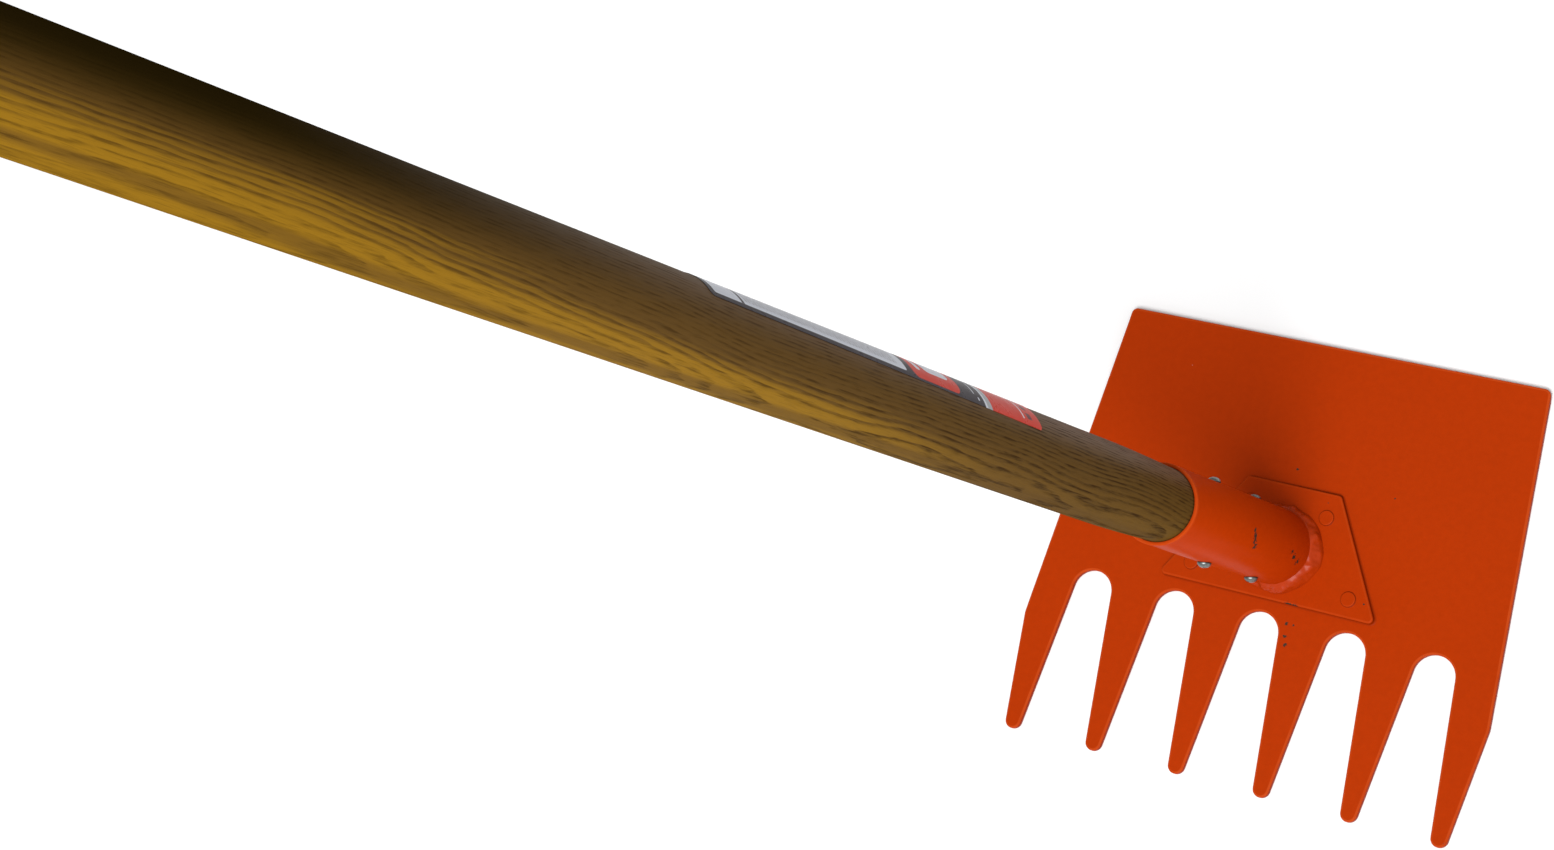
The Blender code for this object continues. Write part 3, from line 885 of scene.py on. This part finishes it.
class RAKEHOE_OT_base_plate(Operator):
    """Adds the trapezoid plate that carries the socket"""
    bl_idname = "rake_hoe.base_plate"
    bl_label = "Base plate"

    def execute(self, context):
        front, rear = BASE_LOW[1], BASE_HIGH[1]
        wide, narrow = 63.5 * MM, 27.0 * MM
        corner_round, edge_round, softened = 2.5 * MM, 0.9 * MM, 0.15 * MM
        corners = [Vector(corner) for corner in (
            (-wide, front), (wide, front), (narrow, rear), (-narrow, rear))]
        outline = []
        for index, corner in enumerate(corners):
            outline += rounded_corner(corners[index - 1], corner, corners[(index + 1) % 4], corner_round)
        low, high = BLADE_HIGH[2] + SEAT_GAP, BASE_HIGH[2]
        bore = [(BASE_BORE + softened, high), (BASE_BORE, high - softened), (BASE_BORE, low)]
        holes = [(place, bore) for place in base_rivet_places()]
        # The skirt and side wall are painted shade, a painted contact shadow round the plate
        shape = plate(outline, low, high, edge_round, holes, foot_rim=-0.48, flare=True)
        piece = shape.piece("base_plate_cover", enamel("base_enamel", gloss=0.03))
        finished(piece, "paint", "base_plate")
        return {"FINISHED"}


class RAKEHOE_OT_base_rivets(Operator):
    """Adds the four flat rivets that hold the base plate to the blade"""
    bl_idname = "rake_hoe.base_rivets"
    bl_label = "Base rivets"

    def execute(self, context):
        rivets = context.scene.rake_hoe_rivets
        low = BLADE_LOW[2] + 0.15 * MM
        seat = BASE_HIGH[2]
        head, top = rivets.base_head, seat + rivets.base_height
        # The flush foot, the shank, a skirt of paint round the head, and the head's rounded edge; the skirt
        # and the lower edge of the head are painted shade, the upper rounding lighter paint with a painted
        # highlight
        profile = [(0, low, 0.0), (4.2 * MM, low, 0.2), (4.8 * MM, low + 0.05 * MM, 0.8),
                   (BASE_SHANK, low + 1.8 * MM, 0.0), (BASE_SHANK, seat, -1.0),
                   (head + 0.4 * MM, seat + 0.03 * MM, -0.4), (head, seat + 0.15 * MM, -0.65)]
        soft = rivets.base_height * 0.6
        rims = (-0.65, -0.3, 0.2, 0.5, 0.5, 0.3, 0.0)
        for rim, (cosine, sine) in zip(rims, quarter(len(rims) - 1)):
            profile.append((head - soft * (1 - cosine), top - soft * (1 - sine), rim))
        profile += [(head - 2 * soft, top, 0.0), (0, top, 0.0)]
        shape = Shape()
        turned(shape, profile, steps=56)
        paint = enamel("rivet_enamel", gloss=0.03, chips=False)
        master = shape.piece("base_rivet_master", paint)
        upright = (0.0, 0.0, 0.0)
        piece = rivets_at("base_rivets", base_rivet_places(), master, upright, 3, paint)
        bpy.data.objects.remove(master)
        finished(piece, "paint", *BASE_RIVETS)
        return {"FINISHED"}


class RAKEHOE_OT_socket(Operator):
    """Adds the socket tube, its foot cut level with the base plate"""
    bl_idname = "rake_hoe.socket"
    bl_label = "Socket tube"

    def execute(self, context):
        socket = context.scene.rake_hoe_socket
        inner, soft, steps = TUBE_RADIUS - socket.wall, 0.55 * MM, 144
        level = BASE_HIGH[2] + SEAT_GAP

        def foot(radius):
            """The slanted ring where the tube meets the base plate."""
            return [(x, y, (level - AXIS_FOOT.z - y * math.sin(LEAN)) / math.cos(LEAN))
                    for x, y, _ in circle(radius, 0.0, steps)]

        # Up the outside, over the rounded lip and a little way down the bore
        profile = [(TUBE_RADIUS, height * MM, 0.0) for height in (30, 60, 90, 120, 150)]
        profile.append((TUBE_RADIUS, socket.mouth - 2.5 * MM, 0.0))
        # The lip's rim weight paints it lighter: thinned paint and a painted highlight
        profile += [(TUBE_RADIUS - soft * (1 - cosine), socket.mouth - soft * (1 - sine), 0.8)
                    for cosine, sine in quarter(4)]
        profile += [(inner + soft * (1 - sine), socket.mouth - soft * (1 - cosine), 0.6)
                    for cosine, sine in quarter(4)]
        profile.append((inner, socket.mouth - 8 * MM, 0.0))
        shape = Shape()
        rows = [shape.row(foot(inner)), shape.row(foot(TUBE_RADIUS))]
        rows += [shape.row(circle(radius, height, steps), rim) for radius, height, rim in profile]
        for low, high in zip(rows, rows[1:] + rows[:1]):
            shape.strip(low, high)
        # lift 1.13 paints the tube's enamel lighter than the blade's, as painted light
        paint = enamel("socket_enamel", gloss=0.007, lift=1.13)
        finished(shape.piece("socket_sleeve", paint, AXIS), "paint", "socket_tube")
        return {"FINISHED"}


class RAKEHOE_OT_weld(Operator):
    """Adds the lumpy fillet weld round the foot of the socket tube"""
    bl_idname = "rake_hoe.weld"
    bl_label = "Weld"

    def execute(self, context):
        paint = enamel("weld_enamel", gloss=0.18, peel=0.06)
        piece = weld_ring(context.scene.rake_hoe_socket, BASE_HIGH[2], paint)
        finished(piece, "weld_paint", "weld_bead")
        return {"FINISHED"}


class RAKEHOE_OT_handle_rivets(Operator):
    """Adds the two domed through-rivets that pin the handle in its socket"""
    bl_idname = "rake_hoe.handle_rivets"
    bl_label = "Handle rivets"

    def execute(self, context):
        rivets = context.scene.rake_hoe_rivets
        seat = TUBE_RADIUS - 0.12 * MM
        lip, shank = 0.35 * MM, 2.5 * MM
        head, height = rivets.pin_head, rivets.pin_height
        # The rim weight at the seat paints shade on the zinc where the head meets the tube
        half = [(shank, seat, 0.0), (head - 0.1 * MM, seat, 1.0), (head, seat + lip, 1.0)]
        half += [(head * cosine, seat + lip + (height - lip) * sine, 0.0)
                 for cosine, sine in quarter(10)[1:-1]]
        half.append((0, seat + height, 0.0))
        profile = [(radius, -height, rim) for radius, height, rim in reversed(half)] + half
        shape = Shape()
        turned(shape, profile, steps=48)
        plating = zinc(rivets)
        master = shape.piece("handle_rivet_master", plating)
        for node, turn in (("handle_rivet_lower", 12.5), ("handle_rivet_upper", 8.0)):
            across = (AXIS.to_3x3() @ Matrix.Rotation(math.radians(turn), 3, "Z")
                      @ Matrix.Rotation(-math.pi / 2, 3, "X"))
            piece = rivets_at(node + "_pin", [middle(node)], master, across.to_euler(), 5, plating)
            finished(piece, "zinc", node)
        bpy.data.objects.remove(master)
        return {"FINISHED"}


class RAKEHOE_OT_handle(Operator):
    """Adds the ash handle, tapered into the socket, with a rounded grip end"""
    bl_idname = "rake_hoe.handle"
    bl_label = "Handle"

    def execute(self, context):
        handle = context.scene.rake_hoe_handle
        socket = context.scene.rake_hoe_socket
        pilot = TUBE_RADIUS - socket.wall - 0.12 * MM
        foot, bevel = 16.0 * MM, 3.0 * MM
        profile = [(0, foot), (pilot - bevel, foot), (pilot, foot + bevel), (pilot, socket.mouth - 6 * MM)]
        # The taper above the mouth, the straight length, and the rounded grip end
        rise = handle.taper_end - socket.mouth
        for step, (_, sine) in enumerate(quarter(24)):
            profile.append((pilot + (HANDLE_RADIUS - pilot) * sine, socket.mouth + rise * step / 24))
        shoulder = HANDLE_TOP - handle.top_round
        straight = shoulder - handle.taper_end
        profile += [(HANDLE_RADIUS, handle.taper_end + straight * step / 60) for step in range(1, 60)]
        flat = HANDLE_RADIUS - handle.top_round
        profile += [(flat + handle.top_round * cosine, shoulder + handle.top_round * sine)
                    for cosine, sine in quarter(16)]
        profile.append((0, HANDLE_TOP))
        shape = Shape()
        turned(shape, [(radius, height, 0.0) for radius, height in profile], steps=128)
        # A hand-finished surface is never quite round
        wobble = 0.004
        for point in shape.points:
            if point.z > socket.mouth + 2 * MM:
                out = Vector((point.x, point.y, 0.0))
                ripple = noise.noise(Vector((point.x * 30, point.y * 30, point.z * 9)))
                point -= out * (0.5 + ripple * 0.5) * wobble
        piece = shape.piece("ash_handle", lacquered_ash(handle), AXIS)
        finished(piece, "wood", "handle")
        return {"FINISHED"}


class RAKEHOE_OT_label(Operator):
    """Adds the printed film label, wrapped a little askew round the handle"""
    bl_idname = "rake_hoe.label"
    bl_label = "Label"

    def execute(self, context):
        label = context.scene.rake_hoe_label
        low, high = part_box("label")
        start = (low[2] - AXIS_FOOT.z) / math.cos(LEAN)
        end = (high[2] - AXIS_FOOT.z) / math.cos(LEAN)
        rows_along, columns = 150, 36
        straight, askew = 3.5, 12.5
        shape = Shape()
        sheets, spots = [], []
        glued = HANDLE_RADIUS + 0.03 * MM
        for radius in (glued, glued + label.film):
            rows = []
            for index in range(rows_along + 1):
                # Rows crowd towards both ends, where the corners are round
                part = 0.5 - 0.5 * math.cos(math.pi * index / rows_along)
                along = (end - start) * part
                inside = max(label.corner - min(along, end - start - along), 0.0)
                cut = label.corner - math.sqrt(label.corner ** 2 - inside ** 2)
                centre = math.radians(straight - askew * part)
                points = []
                for column in range(columns + 1):
                    across = (2 * column / columns - 1) * (label.half_width - cut)
                    turn = math.pi / 2 - centre - across / HANDLE_RADIUS
                    points.append((radius * math.cos(turn), radius * math.sin(turn), start + along))
                    spots.append((along, across))
                rows.append(shape.row(points))
            for lower, upper in zip(rows, rows[1:]):
                shape.strip(lower, upper, closed=False)
            sheets.append(rows)
        inner, outer = sheets
        for edge in (0, -1):
            shape.strip(inner[edge], outer[edge], closed=False)
            shape.strip([row[edge] for row in inner], [row[edge] for row in outer], closed=False)
        piece = shape.piece("label_film", printed_film(label), AXIS)
        layer = piece.data.uv_layers.new(name="label")
        for loop in piece.data.loops:
            layer.data[loop.index].uv = spots[loop.vertex_index]
        finished(piece, "label_film", "label")
        return {"FINISHED"}


class RAKEHOE_OT_stage(Operator):
    """Adds the pale floor, the soft room light and the camera"""
    bl_idname = "rake_hoe.stage"
    bl_label = "Stage"

    def execute(self, context):
        stage = context.scene.rake_hoe_stage
        # Just under the tool, so that the two never share a plane
        reach, drop = 8.0, -0.2 * MM
        shape = Shape()
        sides = ((-1, -1), (1, -1), (1, 1), (-1, 1))
        shape.fill(shape.row([(x * reach, y * reach, drop) for x, y in sides]))
        floor = shape.piece("floor", floor_paper(stage))

        # The room is bright overhead and dim below, with no hard edge between
        world = bpy.data.worlds.new("room")
        context.scene.world = world
        world.use_nodes = True
        room = Tree(world.node_tree.nodes, world.node_tree.links)
        direction = room.out("ShaderNodeTexCoord", "Generated")
        facing = room.out("ShaderNodeVectorMath", 1, {"operation": "DOT_PRODUCT"},
                          {0: direction, 1: (0.20, -0.40, 0.89)})
        glow = facing.ramp(-0.5, 0.95) * (stage.sky - stage.shade) + stage.shade
        background = room.nodes["Background"]
        background.inputs["Color"].default_value = (1.0, 1.0, 1.0, 1.0)
        room.links.new(glow.socket, background.inputs["Strength"])

        # One large soft light, before the tines and to their right, turned towards the tool's foot
        lamp = bpy.data.lights.new("key", "AREA")
        lamp.size = 1.5
        lamp.energy = stage.key_power
        key = in_scene("key", lamp)
        key.location = (0.80, -1.25, 3.0)
        key.rotation_euler = (-key.location).to_track_quat("-Z", "Y").to_euler()

        lens = bpy.data.cameras.new("camera")
        lens.lens = stage.lens
        lens.sensor_width = 36.0
        lens.clip_start = 0.02
        camera = in_scene("camera", lens)
        camera.location = stage.camera
        camera.rotation_euler = stage.camera_turn
        context.scene.camera = camera
        context.scene.view_settings.view_transform = "Standard"
        return {"FINISHED"}


PIECES = (
    RAKEHOE_OT_blade, RAKEHOE_OT_base_plate, RAKEHOE_OT_base_rivets, RAKEHOE_OT_socket, RAKEHOE_OT_weld,
    RAKEHOE_OT_handle_rivets, RAKEHOE_OT_handle, RAKEHOE_OT_label, RAKEHOE_OT_stage)


class RAKEHOE_PT_panel(Panel):
    """Lists the pieces of the rake hoe"""
    bl_idname = "RAKEHOE_PT_panel"
    bl_label = "Rake Hoe"
    bl_space_type = "VIEW_3D"
    bl_region_type = "UI"
    bl_category = "Rake Hoe"

    def draw(self, context):
        for operator in PIECES:
            self.layout.operator(operator.bl_idname)


SETTINGS = {
    "rake_hoe_paint": RakeHoePaint, "rake_hoe_blade": RakeHoeBlade, "rake_hoe_socket": RakeHoeSocket,
    "rake_hoe_rivets": RakeHoeRivets, "rake_hoe_handle": RakeHoeHandle, "rake_hoe_label": RakeHoeLabel,
    "rake_hoe_stage": RakeHoeStage}


def register():
    for cls in (*SETTINGS.values(), *PIECES, RAKEHOE_PT_panel):
        bpy.utils.register_class(cls)
    for name, group in SETTINGS.items():
        setattr(bpy.types.Scene, name, PointerProperty(type=group))


def unregister():
    for name in SETTINGS:
        delattr(bpy.types.Scene, name)
    for cls in (RAKEHOE_PT_panel, *reversed(PIECES), *reversed(SETTINGS.values())):
        bpy.utils.unregister_class(cls)


def main():
    register()
    for operator in PIECES:
        getattr(bpy.ops.rake_hoe, operator.bl_idname.split(".")[1])()


if __name__ == "__main__":
    main()
